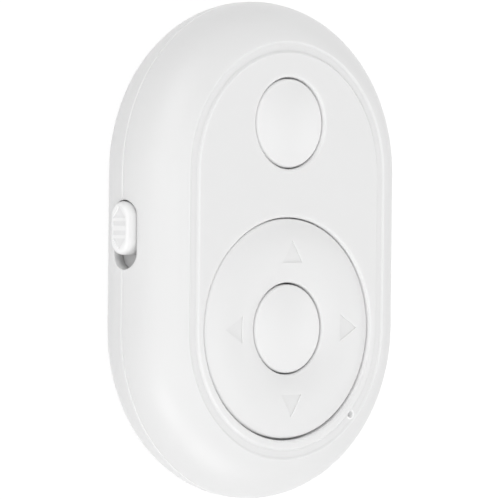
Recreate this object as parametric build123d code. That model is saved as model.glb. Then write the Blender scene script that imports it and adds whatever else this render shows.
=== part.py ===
from build123d import *
import os
from math import cos, radians, sin, sqrt

# A pocket remote for a phone's camera, lying on its back.
# The rear face is on z = 0, +Z points out of the front, +Y points towards the shutter button.
# The origin is the middle of the rear face. All sizes are in millimetres.

# Case
end_spacing = 19.4
case_width = 42.6
case_wall = 1.5
rear_side_height = 0.33
rear_thickness = 1.5
face_thickness = 1.6
parting_height = 6.45
parting_bevel = 0.12
rim_inset = 5.1
face_rise = 0.2
groove_width = 1.4
groove_depth = 0.15
groove_wall_run = 0.28
groove_softness = 0.2
tongue_thickness = 0.65
tongue_height = 0.6
tongue_clearance = 0.05
hole_rounding = 0.4

# Round buttons
button_radius = 5.5
button_gap = 0.2
button_dome = 0.85
button_edge_drop = 0.25
button_edge_rounding = 0.45
button_wall = 1.1
button_flange_width = 0.85
button_flange_thickness = 0.7
button_flange_clearance = 0.05
button_post_radius = 1.6
button_travel = 0.25
shutter_offset = 6.1

# Direction ring
ring_offset = 0.04
ring_land = 0.98
ring_gap = 0.21
ring_shift = 0.06
ring_outer_drop = 0.4
ring_inner_drop = 0.2
ring_crest_rise = 0.6
ring_edge_rounding = 0.4
ring_plate_thickness = 1.2
ring_post_height = 0.7
ring_flange_width = 0.75
ring_flange_thickness = 0.8
ring_wall = 1.0
ring_tilt = 1.2
tilt_clearance = 0.08
centre_shift = -0.03

# Triangles pressed into the ring
mark_depth = 0.12
mark_start = 1.485
mark_height = 2.75
mark_half_base = 1.65

# Silicone pad between the ring and its switches
pad_thickness = 0.4
pad_pip_height = 0.25
pad_pip_radius = 1.6
pad_clearance = 0.3

# Push switches on the board
switch_side = 6.0
switch_body_height = 3.5
switch_full_height = 4.3
plunger_radius = 1.75
plunger_depth = 0.8
plunger_clearance = 0.05
switch_leg_width = 0.7
switch_leg_reach = 1.0
switch_leg_thickness = 0.2
switch_leg_spacing = 4.5

# Power switch in the left wall
slot_y = 1.92
knob_length = 6.5
knob_height = 3.7
knob_side_gap = 0.14
knob_end_gap = 0.2
knob_travel = 1.6
knob_stand = 0.8
knob_rounding = 0.7
knob_plate_thickness = 0.6
knob_plate_overlap = 0.5
knob_plate_clearance = 0.1
knob_mark_depth = 0.15
knob_bar_width = 0.55
knob_bar_length = 2.4
knob_bar_spacing = 1.15
knob_triangle_height = 1.4
knob_triangle_start = 1.25
fork_prong = 0.6
fork_clearance = 0.05
lever_width = 1.3
lever_height = 0.8
lever_buried = 0.9
slide_switch_length = 8.6
slide_switch_depth = 3.5
slide_switch_height = 1.4

# Circuit board
board_thickness = 1.0
board_margin = 1.5
boss_hole_clearance = 0.3

# Screws, fitted from behind through the case and from the front through the board
case_screw_inset = 4.4
case_screw_angle = 45.0
case_screw_radius = 0.85
case_screw_head_radius = 1.5
case_screw_head_height = 1.1
case_screw_length = 7.5
case_screw_recess = 2.2
case_boss_radius = 2.4
board_screw_inset = 2.3
board_screw_low_angle = 25.0
board_screw_high_angle = 5.0
board_screw_radius = 0.75
board_screw_head_radius = 1.4
board_screw_head_height = 0.9
board_screw_length = 3.4
board_boss_radius = 1.9
screw_clearance = 0.02
screw_hole_spare = 0.4
cross_width = 0.45
cross_depth = 0.5

# Coin cell and its contacts
cell_radius = 10.0
cell_height = 3.2
cell_offset = -0.3
cell_cap_radius = 8.6
cell_cap_height = 0.35
cell_gasket_width = 0.35
cell_clearance = 0.2
well_wall = 1.0
contact_room = 0.55
contact_thickness = 0.15
contact_width = 4.0
contact_tab = 2.6
contact_window = 5.0

# Battery door, which slides off past the lower end
door_side_margin = 1.8
door_thickness = 1.2
door_skin = 0.6
door_tongue = 0.6
door_clearance = 0.1
door_overlap_above_cell = 1.6
door_seat_thickness = 0.8
door_seat_border = 1.3
door_grip_count = 5
door_grip_pitch = 1.6
door_grip_width = 0.7
door_grip_length = 11.0
door_grip_depth = 0.3
door_grip_inset = 1.6
door_arrow_gap = 6.5
door_arrow_size = 2.2

# Indicator
indicator_into_groove = 0.6
indicator_angle = -45.0
indicator_hole_radius = 0.45
indicator_pipe_clearance = 0.02
indicator_sink = 0.9
indicator_pipe_foot_radius = 0.6
led_length = 1.6
led_width = 0.8
led_height = 0.6
led_gap = 0.3

# Chip, crystal, small soldered parts and antenna
chip_side = 5.0
chip_height = 0.9
chip_inset = 9.3
chip_below_shutter = 8.4
crystal_length = 3.2
crystal_width = 2.5
crystal_height = 0.7
crystal_gap = 1.4
passive_length = 1.0
passive_width = 0.5
passive_height = 0.35
passive_pitch = 1.5
passive_count = 5
antenna_trace = 0.5
antenna_pitch = 1.2
antenna_leg = 4.0
antenna_leg_count = 8
antenna_inset = 1.4
copper_thickness = 0.1

# Hooks that hold the lower ends of the two shells together
hook_near_x = 4.0
hook_width = 4.0
hook_thickness = 0.8
hook_clearance = 0.1
hook_reach = 1.75
hook_nose = 0.45
hook_nose_height = 0.7


def tilt_lift(radius):
    """Rise of a point of the ring when it is pressed midway between two triangles."""
    return radius * sin(radians(ring_tilt * sqrt(2)))


def about_end(radius, angle, end):
    """Two places, left and right, at a radius and an angle from the centre of one round end."""
    x = radius * cos(radians(angle))
    y = end * (end_y + radius * sin(radians(angle)))
    return [(-x, y), (x, y)]


# Heights that follow from the sizes above, from the rear face up to the front face
cell_bottom = door_thickness + door_clearance
cell_top = cell_bottom + cell_height
board_bottom = cell_top + contact_room
board_top = board_bottom + board_thickness
knob_height_on_case = board_top + slide_switch_height / 2
housing_top = board_top + switch_body_height
plunger_top = board_top + switch_full_height
pad_bottom = plunger_top + pad_pip_height
pad_top = pad_bottom + pad_thickness
ring_under = pad_top + ring_post_height
ring_outer_edge = ring_under + ring_plate_thickness
face_height = ring_outer_edge + ring_outer_drop
rim_height = face_height - face_rise
groove_floor = rim_height - groove_depth
ceiling = face_height - face_thickness
case_boss_meeting = board_bottom - screw_hole_spare

# Outline of the case and its two roundings
end_y = end_spacing / 2
half_width = case_width / 2
half_length = end_y + half_width
inner_wall = half_width - case_wall
rear_rounding = parting_height - parting_bevel - rear_side_height
arc_start = parting_height + parting_bevel
arc_height = rim_height - arc_start
front_rounding = (rim_inset**2 + arc_height**2) / (2 * rim_inset)
face_edge_radius = half_width - rim_inset - groove_width

# Ring, buttons and indicator
ring_hole_radius = face_edge_radius - ring_land
ring_radius = ring_hole_radius - ring_gap
button_hole_radius = button_radius + button_gap
ring_middle = (button_hole_radius + ring_radius) / 2
mark_radius = ring_middle - mark_start
ring_y = ring_offset - end_y
ring_centre_y = ring_y + ring_shift
centre_button_y = ring_centre_y + centre_shift
shutter_y = end_y + shutter_offset
ring_inner_edge = face_height - ring_inner_drop
ring_crest = face_height + ring_crest_rise
ring_flange_top = ceiling - tilt_lift(ring_radius + ring_flange_width) - tilt_clearance
centre_flange_top = ring_flange_top - tilt_lift(button_hole_radius + ring_wall) - tilt_clearance
indicator_reach = face_edge_radius + indicator_into_groove
indicator_x = indicator_reach * cos(radians(indicator_angle))
indicator_y = ring_y + indicator_reach * sin(radians(indicator_angle))

# Knob and its plate
knob_y = slot_y + knob_travel / 2
plate_outer = inner_wall - knob_plate_clearance
plate_inner = plate_outer - knob_plate_thickness
knob_plate_half_length = knob_length / 2 + knob_end_gap + knob_travel + knob_plate_overlap
knob_plate_half_height = knob_height / 2 + knob_side_gap + knob_plate_overlap

# Board, screws, cell and door
board_edge = inner_wall - board_margin
chip_x = board_edge - chip_inset
chip_y = shutter_y - chip_below_shutter
antenna_y = end_y + board_edge - antenna_inset - antenna_leg
cell_y = cell_offset - end_y
door_half_width = cell_radius + cell_clearance + door_side_margin
door_end_y = cell_y + cell_radius + door_overlap_above_cell
lowest_grip_y = rear_rounding + door_grip_inset - half_length
door_arrow_y = lowest_grip_y + (door_grip_count - 1) * door_grip_pitch + door_arrow_gap

case_screw_places = about_end(inner_wall - case_screw_inset, case_screw_angle, 1)
board_screw_radius_on_board = board_edge - board_screw_inset
board_screw_places = [
    *about_end(board_screw_radius_on_board, board_screw_low_angle, -1),
    *about_end(board_screw_radius_on_board, board_screw_high_angle, 1),
]


def block(x_range, y_range, z_range):
    """A box between three pairs of limits."""
    size = [high - low for low, high in (x_range, y_range, z_range)]
    middle = [(high + low) / 2 for low, high in (x_range, y_range, z_range)]
    return Pos(*middle) * Box(*size)


def disc(x, y, radius, bottom, top):
    """An upright cylinder."""
    return Pos(x, y, (bottom + top) / 2) * Cylinder(radius, top - bottom)


def turned(profile, x, y):
    """A profile of radius and height, turned about an upright axis through x, y."""
    return Pos(x, y, 0) * revolve(Plane.XZ * profile, Axis.Z)


def round_ended(profile):
    """A profile of distance from the middle and height, carried round the case's outline."""
    section = Pos(0, end_y, 0) * (Plane.XZ * profile)
    end = revolve(section, Axis((0, end_y, 0), (0, 0, 1)), 180)
    side = extrude(section, 2 * end_y)
    return end + mirror(end, Plane.XZ) + side + mirror(side, Plane.YZ)


def outline_prism(inset, bottom, top):
    """The case's outline, drawn in by an inset, between two heights."""
    outline = SlotOverall(2 * (half_length - inset), 2 * (half_width - inset), rotation=90)
    return extrude(Pos(0, 0, bottom) * outline, top - bottom)


def softened(profile, corners, radius):
    """The profile with the named corners rounded."""
    for corner in corners:
        vertex = profile.vertices().sort_by_distance(Vector(*corner))[0]
        profile = fillet(vertex, radius)
    return profile


def triangle(apex, height, half_base, heading):
    """A flat triangle whose apex lies at a distance from the origin along a heading."""
    corners = [(apex, 0), (apex - height, half_base), (apex - height, -half_base)]
    return Rot(0, 0, heading) * make_face(Polyline(*corners, close=True))


def screw(head_radius, head_height, shank_radius, shank_length):
    """A pan-head screw that points down, with the underside of its head at the origin."""
    head = extrude(Circle(head_radius), head_height)
    head = fillet(head.faces().sort_by(Axis.Z)[-1].edges(), head_height / 3)
    shank = extrude(Circle(shank_radius), -shank_length)
    shank = chamfer(shank.faces().sort_by(Axis.Z)[0].edges(), shank_radius / 2)
    bar = extrude(Rectangle(head_radius * 1.2, cross_width), cross_depth)
    cross = Pos(0, 0, head_height - cross_depth) * (bar + Rot(0, 0, 90) * bar)
    return head + shank - cross


# Shells
def rear_outside():
    flat = half_width - rear_rounding
    bevelled = half_width - parting_bevel
    side_top = parting_height - parting_bevel
    edges = [
        Line((0, 0), (flat, 0)),
        CenterArc((flat, rear_rounding), rear_rounding, -90, 90),
        Line((half_width, rear_rounding), (half_width, side_top)),
        Line((half_width, side_top), (bevelled, parting_height)),
        Line((bevelled, parting_height), (0, parting_height)),
        Line((0, parting_height), (0, 0)),
    ]
    return round_ended(make_face(edges))


def rear_hollow():
    flat = half_width - rear_rounding
    above = parting_height + tongue_height + 1
    across = rear_rounding - case_wall
    down = rear_rounding - rear_thickness
    edges = [
        Line((0, rear_thickness), (flat, rear_thickness)),
        EllipticalCenterArc((flat, rear_rounding), across, down, 270, arc_size=90),
        Line((inner_wall, rear_rounding), (inner_wall, above)),
        Line((inner_wall, above), (0, above)),
        Line((0, above), (0, rear_thickness)),
    ]
    return round_ended(make_face(edges))


def front_outside():
    crest = half_width - rim_inset
    floor_outer = crest - groove_wall_run
    floor_inner = face_edge_radius + groove_wall_run
    low = parting_height
    rounding = RadiusArc((half_width, arc_start), (crest, rim_height), -front_rounding)
    edges = [
        Line((0, low), (half_width - parting_bevel, low)),
        Line((half_width - parting_bevel, low), (half_width, arc_start)),
        rounding,
        Line((crest, rim_height), (floor_outer, groove_floor)),
        Line((floor_outer, groove_floor), (floor_inner, groove_floor)),
        Line((floor_inner, groove_floor), (face_edge_radius, face_height)),
        Line((face_edge_radius, face_height), (0, face_height)),
        Line((0, face_height), (0, low)),
    ]
    corners = [
        (crest, rim_height),
        (floor_outer, groove_floor),
        (floor_inner, groove_floor),
        (face_edge_radius, face_height),
    ]
    return round_ended(softened(make_face(edges), corners, groove_softness))


def front_hollow():
    arc_middle = half_width - front_rounding
    below = parting_height - 1
    across = front_rounding - case_wall
    edges = [
        Line((0, below), (inner_wall, below)),
        Line((inner_wall, below), (inner_wall, arc_start)),
        EllipticalCenterArc((arc_middle, arc_start), across, ceiling - arc_start, 0, arc_size=90),
        Line((arc_middle, ceiling), (0, ceiling)),
        Line((0, ceiling), (0, below)),
    ]
    return round_ended(make_face(edges))


def knob_opening():
    """The slot in the left wall and the flat-backed pocket behind it."""
    slot = SlotOverall(
        knob_length + knob_travel + 2 * knob_end_gap, knob_height + 2 * knob_side_gap
    )
    slot = Pos(-half_width - 1, slot_y, knob_height_on_case) * (Plane.YZ * slot)
    half_long = knob_plate_half_length + knob_travel / 2 + knob_plate_clearance
    half_tall = knob_plate_half_height + knob_plate_clearance
    pocket = block(
        (-inner_wall, -plate_inner + 1),
        (slot_y - half_long, slot_y + half_long),
        (knob_height_on_case - half_tall, knob_height_on_case + half_tall),
    )
    return extrude(slot, case_wall + 2) + pocket


def hook_sector(low_radius, high_radius, bottom, top, spare):
    """Two short curved blocks inside the lower end wall."""
    ring = disc(0, -end_y, high_radius, bottom, top) - disc(0, -end_y, low_radius, bottom, top)
    reach = block(
        (hook_near_x - spare, hook_near_x + hook_width + spare),
        (-half_length, -end_y),
        (bottom, top),
    )
    one = ring & reach
    return one + mirror(one, Plane.YZ)


def hooks():
    outer = inner_wall - hook_clearance
    low = parting_height - hook_reach
    root_low = parting_height + tongue_height + hook_clearance
    root_high = root_low + hook_thickness
    strip = hook_sector(outer - hook_thickness, outer, low, root_high, 0)
    root = hook_sector(outer - hook_thickness, inner_wall + tongue_thickness, root_low, root_high, 0)
    nose = hook_sector(
        outer - hook_thickness, outer + hook_nose, low, low + hook_nose_height, 0
    )
    return strip + root + nose


def hook_pockets():
    low = parting_height - hook_reach
    return hook_sector(
        inner_wall - hook_clearance - hook_thickness,
        inner_wall + hook_nose,
        low - hook_clearance,
        low + hook_nose_height + hook_clearance,
        hook_clearance,
    )


def door_layers(spare, bottom, top, step):
    """The door's two layers: a skin, and a wider tongue layer behind it."""
    end = door_end_y + spare
    half = door_half_width + spare
    beyond = -half_length - 1
    skin = block((-half, half), (beyond, end), (bottom, step))
    half = half + door_tongue
    return skin + block((-half, half), (beyond, end + door_tongue), (step, top))


def make_rear_shell():
    outside = rear_outside()
    shell = outside - rear_hollow()
    tongue_outer = case_wall - tongue_thickness
    tongue_top = parting_height + tongue_height
    low = parting_height - tongue_thickness
    shell += outline_prism(tongue_outer, low, tongue_top) - outline_prism(case_wall, low, tongue_top)
    seat_top = door_thickness + door_clearance + door_seat_thickness
    seat_half = door_half_width + door_tongue + door_seat_border
    seat_end = door_end_y + door_tongue + door_seat_border
    seat = block((-seat_half, seat_half), (-half_length, seat_end), (0, seat_top))
    shell += seat & outside
    well_radius = cell_radius + cell_clearance
    shell += disc(0, cell_y, well_radius + well_wall, seat_top, board_bottom)
    for x, y in board_screw_places:
        shell += disc(x, y, board_boss_radius, rear_thickness / 2, board_bottom)
    for x, y in case_screw_places:
        shell += disc(x, y, case_boss_radius, rear_thickness / 2, case_boss_meeting)
    shell -= disc(0, cell_y, well_radius, 0, board_bottom)
    shell -= door_layers(door_clearance, -1, cell_bottom, door_skin - door_clearance)
    shell -= block(
        (0, well_radius + well_wall + contact_tab),
        (cell_y - contact_window / 2, cell_y + contact_window / 2),
        (seat_top, board_bottom),
    )
    for x, y in board_screw_places:
        pilot = board_screw_radius + screw_clearance
        depth = board_screw_length - board_thickness + screw_hole_spare
        shell -= disc(x, y, pilot, board_bottom - depth, board_bottom)
    for x, y in case_screw_places:
        shell -= disc(x, y, case_screw_head_radius + screw_clearance * 5, -1, case_screw_recess)
        shell -= disc(x, y, case_screw_radius + screw_clearance, 0, case_boss_meeting)
    shell -= hook_pockets()
    return shell - knob_opening()


def make_front_shell():
    hollow = front_hollow()
    shell = front_outside() - hollow
    rebate_outer = case_wall - tongue_thickness - tongue_clearance
    low = parting_height - 1
    rebate_top = parting_height + tongue_height + tongue_clearance
    rebate = outline_prism(rebate_outer, low, rebate_top)
    shell -= rebate - outline_prism(case_wall + tongue_clearance, low, rebate_top)
    for x, y in case_screw_places:
        boss = disc(x, y, case_boss_radius, case_boss_meeting, face_height - face_thickness / 2)
        shell += boss
    shell += hooks()
    for x, y in case_screw_places:
        pilot = case_screw_radius + screw_clearance
        pilot_top = case_screw_recess + case_screw_length + screw_hole_spare
        shell -= disc(x, y, pilot, case_boss_meeting, pilot_top)
    for y, radius in ((shutter_y, button_hole_radius), (ring_y, ring_hole_radius)):
        shell -= disc(0, y, radius, ceiling - 1, face_height + 1)
        rim = shell.edges().filter_by(GeomType.CIRCLE)
        rim = rim.filter_by(lambda edge: abs(edge.radius - radius) < 0.001)
        shell = fillet(rim.sort_by(Axis.Z)[-1], hole_rounding)
    shell -= disc(indicator_x, indicator_y, indicator_hole_radius, arc_start, face_height)
    return shell - knob_opening()


# Battery door
def make_battery_door():
    door = door_layers(0, 0, door_thickness, door_skin) & rear_outside()
    for number in range(door_grip_count):
        y = lowest_grip_y + number * door_grip_pitch
        half = door_grip_length / 2
        door -= block(
            (-half, half),
            (y - door_grip_width / 2, y + door_grip_width / 2),
            (-1, door_grip_depth),
        )
    arrow = triangle(door_arrow_size, door_arrow_size, door_arrow_size, -90)
    door -= extrude(Pos(0, door_arrow_y, -1) * arrow, 1 + door_grip_depth)
    return door


# Round buttons
def make_round_button(y, flange_top):
    """A domed cap with a flange that keeps it in, and a post that reaches its switch."""
    edge = face_height - button_edge_drop
    under = edge - button_wall
    flange_bottom = flange_top - button_flange_thickness
    flange_radius = button_radius + button_flange_width
    skirt = button_radius - button_wall
    side = [
        (0, edge + button_dome),
        (0, plunger_top),
        (button_post_radius, plunger_top),
        (button_post_radius, under),
        (skirt, under),
        (skirt, flange_bottom),
        (flange_radius, flange_bottom),
        (flange_radius, flange_top),
        (button_radius, flange_top),
        (button_radius, edge),
    ]
    dome = SagittaArc((button_radius, edge), (0, edge + button_dome), -dome_bulge())
    profile = make_face([Polyline(*side), dome])
    profile = softened(profile, [(button_radius, edge)], button_edge_rounding)
    return turned(profile, 0, y)


def dome_bulge():
    """Bulge of the half-dome's arc over its chord, for a dome that is level at its middle."""
    sphere = (button_radius**2 + button_dome**2) / (2 * button_dome)
    chord = sqrt(button_radius**2 + button_dome**2)
    return sphere - sqrt(sphere**2 - (chord / 2) ** 2)


# Direction ring
def make_direction_ring():
    flange_bottom = ring_flange_top - ring_flange_thickness
    side = [
        (ring_radius, ring_outer_edge),
        (ring_radius, ring_flange_top),
        (ring_radius + ring_flange_width, ring_flange_top),
        (ring_radius + ring_flange_width, flange_bottom),
        (ring_radius - ring_wall, flange_bottom),
        (ring_radius - ring_wall, ring_under),
        (button_hole_radius + ring_wall, ring_under),
        (button_hole_radius + ring_wall, ring_flange_top),
        (button_hole_radius, ring_flange_top),
        (button_hole_radius, ring_inner_edge),
    ]
    crest = ThreePointArc(
        (button_hole_radius, ring_inner_edge), (ring_middle, ring_crest), (ring_radius, ring_outer_edge)
    )
    profile = make_face([Polyline(*side), crest])
    corners = [(ring_radius, ring_outer_edge), (button_hole_radius, ring_inner_edge)]
    profile = softened(profile, corners, ring_edge_rounding)
    body = turned(profile, 0, 0)
    for heading in range(0, 360, 90):
        mark = triangle(mark_radius + mark_height, mark_height, mark_half_base, heading)
        prism = extrude(Pos(0, 0, ring_outer_edge - mark_depth) * mark, ring_crest)
        body = body - prism + (prism & (Pos(0, 0, -mark_depth) * body))
        x = ring_middle * cos(radians(heading))
        y = ring_middle * sin(radians(heading))
        body += disc(x, y, pad_pip_radius, pad_top, ring_under + mark_depth)
    return Pos(0, ring_centre_y, 0) * body


def make_ring_silicone_pad():
    spare = ring_wall + pad_clearance
    pad = disc(0, 0, ring_radius - spare, pad_bottom, pad_top)
    pad -= disc(0, 0, button_hole_radius + spare, pad_bottom, pad_top)
    for heading in range(0, 360, 90):
        x = ring_middle * cos(radians(heading))
        y = ring_middle * sin(radians(heading))
        pad += disc(x, y, pad_pip_radius, plunger_top, pad_bottom)
    return Pos(0, ring_centre_y, 0) * pad


# Push switches
def make_switch_housing(x, y):
    half = switch_side / 2
    housing = block((-half, half), (-half, half), (board_top, housing_top))
    housing = chamfer(housing.edges().filter_by(Axis.Z), 0.4)
    for side_x in (-1, 1):
        for side_y in (-1, 1):
            leg_y = side_y * switch_leg_spacing / 2
            limits = sorted((side_x * half, side_x * (half + switch_leg_reach)))
            housing += block(
                limits,
                (leg_y - switch_leg_width / 2, leg_y + switch_leg_width / 2),
                (board_top, board_top + switch_leg_thickness),
            )
    bore_depth = plunger_depth + button_travel + 2 * plunger_clearance
    bore_radius = plunger_radius + plunger_clearance
    housing -= disc(0, 0, bore_radius, housing_top - bore_depth, housing_top)
    return Pos(x, y, 0) * housing


def make_switch_plunger(x, y):
    plunger = disc(0, 0, plunger_radius, housing_top - plunger_depth, plunger_top)
    return Pos(x, y, 0) * plunger


# Power switch
def knob_marks():
    """Two bars between two triangles, pressed into the knob's face, as a flat sketch."""
    bars = Sketch()
    for side in (-1, 1):
        bars += Pos(side * knob_bar_spacing / 2, 0) * Rectangle(knob_bar_width, knob_bar_length)
    far = knob_triangle_start + knob_triangle_height
    for heading in (0, 180):
        bars += triangle(far, knob_triangle_height, knob_bar_length / 2, heading)
    return bars


def make_power_knob():
    face_x = half_width + knob_stand
    cap = extrude(Plane.YZ * SlotOverall(knob_length, knob_height), face_x - plate_inner)
    cap = fillet(cap.faces().sort_by(Axis.X)[0].edges(), knob_rounding)
    cap -= extrude(Plane.YZ * knob_marks(), knob_mark_depth)
    knob = Pos(-face_x, knob_y, knob_height_on_case) * cap
    half_long = knob_plate_half_length
    half_tall = knob_plate_half_height
    knob += block(
        (-plate_outer, -plate_inner),
        (knob_y - half_long, knob_y + half_long),
        (knob_height_on_case - half_tall, knob_height_on_case + half_tall),
    )
    for side in (-1, 1):
        near = lever_width / 2 + fork_clearance
        limits = sorted((knob_y + side * near, knob_y + side * (near + fork_prong)))
        knob += block(
            (-plate_inner, -board_edge - 2 * fork_clearance),
            limits,
            (knob_height_on_case - lever_height, knob_height_on_case + lever_height),
        )
    return knob


def make_slide_switch_lever():
    return block(
        (-plate_inner + fork_clearance, -board_edge + lever_buried),
        (knob_y - lever_width / 2, knob_y + lever_width / 2),
        (knob_height_on_case - lever_height / 2, knob_height_on_case + lever_height / 2),
    )


def make_slide_switch_housing():
    housing = block(
        (-board_edge, -board_edge + slide_switch_depth),
        (slot_y - slide_switch_length / 2, slot_y + slide_switch_length / 2),
        (board_top, board_top + slide_switch_height),
    )
    half_long = (lever_width + knob_travel) / 2 + fork_clearance
    half_tall = lever_height / 2 + fork_clearance
    return housing - block(
        (-board_edge - 1, -board_edge + lever_buried + fork_clearance),
        (slot_y - half_long, slot_y + half_long),
        (knob_height_on_case - half_tall, knob_height_on_case + half_tall),
    )


# Circuit board and what is soldered to it
def make_circuit_board():
    board = outline_prism(case_wall + board_margin, board_bottom, board_top)
    for x, y in case_screw_places:
        board -= disc(x, y, case_boss_radius + boss_hole_clearance, board_bottom, board_top)
    for x, y in board_screw_places:
        board -= disc(x, y, board_screw_radius + screw_clearance * 5, board_bottom, board_top)
    return board


def make_radio_chip():
    half = chip_side / 2
    chip = block((-half, half), (-half, half), (board_top, board_top + chip_height))
    chip = chamfer(chip.edges().filter_by(Axis.Z), 0.3)
    dot = disc(-half + 1, half - 1, 0.3, board_top + chip_height - 0.1, board_top + chip_height)
    return Pos(chip_x, chip_y, 0) * (chip - dot)


def make_crystal():
    x = chip_x + chip_side / 2 + crystal_gap + crystal_width / 2
    can = block(
        (x - crystal_width / 2, x + crystal_width / 2),
        (chip_y - crystal_length, chip_y),
        (board_top, board_top + crystal_height),
    )
    return fillet(can.edges().filter_by(Axis.Z), 0.3)


def make_passives():
    """Two rows of small soldered parts, left and lower edge of the chip."""
    row = []
    for number in range(passive_count):
        offset = (number - (passive_count - 1) / 2) * passive_pitch
        x = chip_x - chip_side / 2 - passive_pitch
        y = chip_y - chip_side / 2 - passive_pitch
        for place, size in (
            ((x, chip_y + offset), (passive_length, passive_width)),
            ((chip_x + offset, y), (passive_width, passive_length)),
        ):
            row.append(
                Pos(*place, board_top + passive_height / 2) * Box(*size, passive_height)
            )
    return Compound(children=row)


def make_antenna():
    points = []
    for number in range(antenna_leg_count):
        x = (number - (antenna_leg_count - 1) / 2) * antenna_pitch
        ends = [(x, antenna_y), (x, antenna_y + antenna_leg)]
        points += ends if number % 2 == 0 else ends[::-1]
    path = trace(Polyline(*points), antenna_trace)
    return extrude(Pos(0, 0, board_top) * path, copper_thickness)


def make_indicator_led():
    body = Box(led_length, led_width, led_height)
    return Pos(indicator_x, indicator_y, board_top + led_height / 2) * body


def make_light_pipe():
    foot = board_top + led_height + led_gap
    shoulder = ring_flange_top
    top = groove_floor - indicator_sink
    pipe = disc(indicator_x, indicator_y, indicator_pipe_foot_radius, foot, shoulder)
    radius = indicator_hole_radius - indicator_pipe_clearance
    return pipe + disc(indicator_x, indicator_y, radius, shoulder, top)


# Coin cell and its contacts
def make_cell_can():
    can = disc(0, cell_y, cell_radius, cell_bottom, cell_top - cell_cap_height)
    can = fillet(can.faces().sort_by(Axis.Z)[0].edges(), 0.3)
    recess = cell_cap_radius + cell_gasket_width
    return can - disc(0, cell_y, recess, cell_top - 2 * cell_cap_height, cell_top)


def make_cell_gasket():
    low = cell_top - 2 * cell_cap_height
    high = cell_top - cell_cap_height / 2
    gasket = disc(0, cell_y, cell_cap_radius + cell_gasket_width, low, high)
    return gasket - disc(0, cell_y, cell_cap_radius, low, high)


def make_cell_cap():
    low = cell_top - 2 * cell_cap_height
    cap = disc(0, cell_y, cell_cap_radius, low, cell_top)
    return fillet(cap.faces().sort_by(Axis.Z)[-1].edges(), cell_cap_height / 2)


def make_negative_contact():
    """A flat tab under the board that bends down to a leaf on the cell's cap."""
    high = board_bottom - contact_thickness / 2
    low = cell_top + contact_thickness / 2
    tab = contact_width
    path = Polyline((-tab, high), (0, high), (tab / 2, low), (tab, low), (tab * 1.5, high - 0.1))
    strip = extrude(Plane.XZ * trace(path, contact_thickness), contact_width / 2, both=True)
    return Pos(0, cell_y, 0) * strip


def make_positive_contact():
    """A tab under the board whose finger presses on the rim of the cell's can."""
    high = board_bottom - contact_thickness / 2
    touch = cell_radius + contact_thickness / 2
    back = touch + contact_thickness * 3
    low = cell_bottom + cell_height / 2
    far = cell_radius + cell_clearance + well_wall + contact_tab - contact_thickness
    path = Polyline((far, high), (back, high), (touch, low), (back, low - cell_height / 5))
    strip = extrude(Plane.XZ * trace(path, contact_thickness), contact_width / 2, both=True)
    return Pos(0, cell_y, 0) * strip


# Screws
def make_case_screws():
    one = screw(
        case_screw_head_radius, case_screw_head_height, case_screw_radius, case_screw_length
    )
    turned_over = Rot(180, 0, 0) * one
    return Compound(
        children=[Pos(x, y, case_screw_recess) * turned_over for x, y in case_screw_places]
    )


def make_board_screws():
    one = screw(
        board_screw_head_radius, board_screw_head_height, board_screw_radius, board_screw_length
    )
    return Compound(children=[Pos(x, y, board_top) * one for x, y in board_screw_places])


nodes = {
    "front_shell": make_front_shell(),
    "rear_shell": make_rear_shell(),
    "battery_door": make_battery_door(),
    "shutter_button": make_round_button(shutter_y, ceiling - button_flange_clearance),
    "centre_button": make_round_button(centre_button_y, centre_flange_top),
    "direction_ring": make_direction_ring(),
    "ring_silicone_pad": make_ring_silicone_pad(),
    "power_knob": make_power_knob(),
    "slide_switch_lever": make_slide_switch_lever(),
    "slide_switch_housing": make_slide_switch_housing(),
    "circuit_board": make_circuit_board(),
    "radio_chip": make_radio_chip(),
    "crystal": make_crystal(),
    "passives": make_passives(),
    "antenna": make_antenna(),
    "indicator_led": make_indicator_led(),
    "indicator_light_pipe": make_light_pipe(),
    "coin_cell_can": make_cell_can(),
    "coin_cell_gasket": make_cell_gasket(),
    "coin_cell_cap": make_cell_cap(),
    "negative_contact": make_negative_contact(),
    "positive_contact": make_positive_contact(),
    "case_screws": make_case_screws(),
    "board_screws": make_board_screws(),
}

switch_places = {"shutter": (0, shutter_y), "centre": (0, centre_button_y)}
for name, heading in (("right", 0), ("up", 90), ("left", 180), ("down", 270)):
    x = ring_middle * cos(radians(heading))
    y = ring_centre_y + ring_middle * sin(radians(heading))
    switch_places[f"ring_{name}"] = (x, y)
for name, (x, y) in switch_places.items():
    nodes[f"{name}_switch_housing"] = make_switch_housing(x, y)
    nodes[f"{name}_switch_plunger"] = make_switch_plunger(x, y)

os.makedirs("parts", exist_ok=True)
for name, shape in nodes.items():
    export_step(shape, f"parts/{name}.step")
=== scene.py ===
"""Looks for a pocket camera remote, laid out as an add-on and run as a script.

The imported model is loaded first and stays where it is. Each operator finishes one piece, or one
group of like pieces, and the last one builds the studio. Lengths are metres, except that the
settings in millimetres say so in their names.
"""

import math

import bmesh
import bpy
import numpy as np
from mathutils import Matrix, Vector


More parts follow.
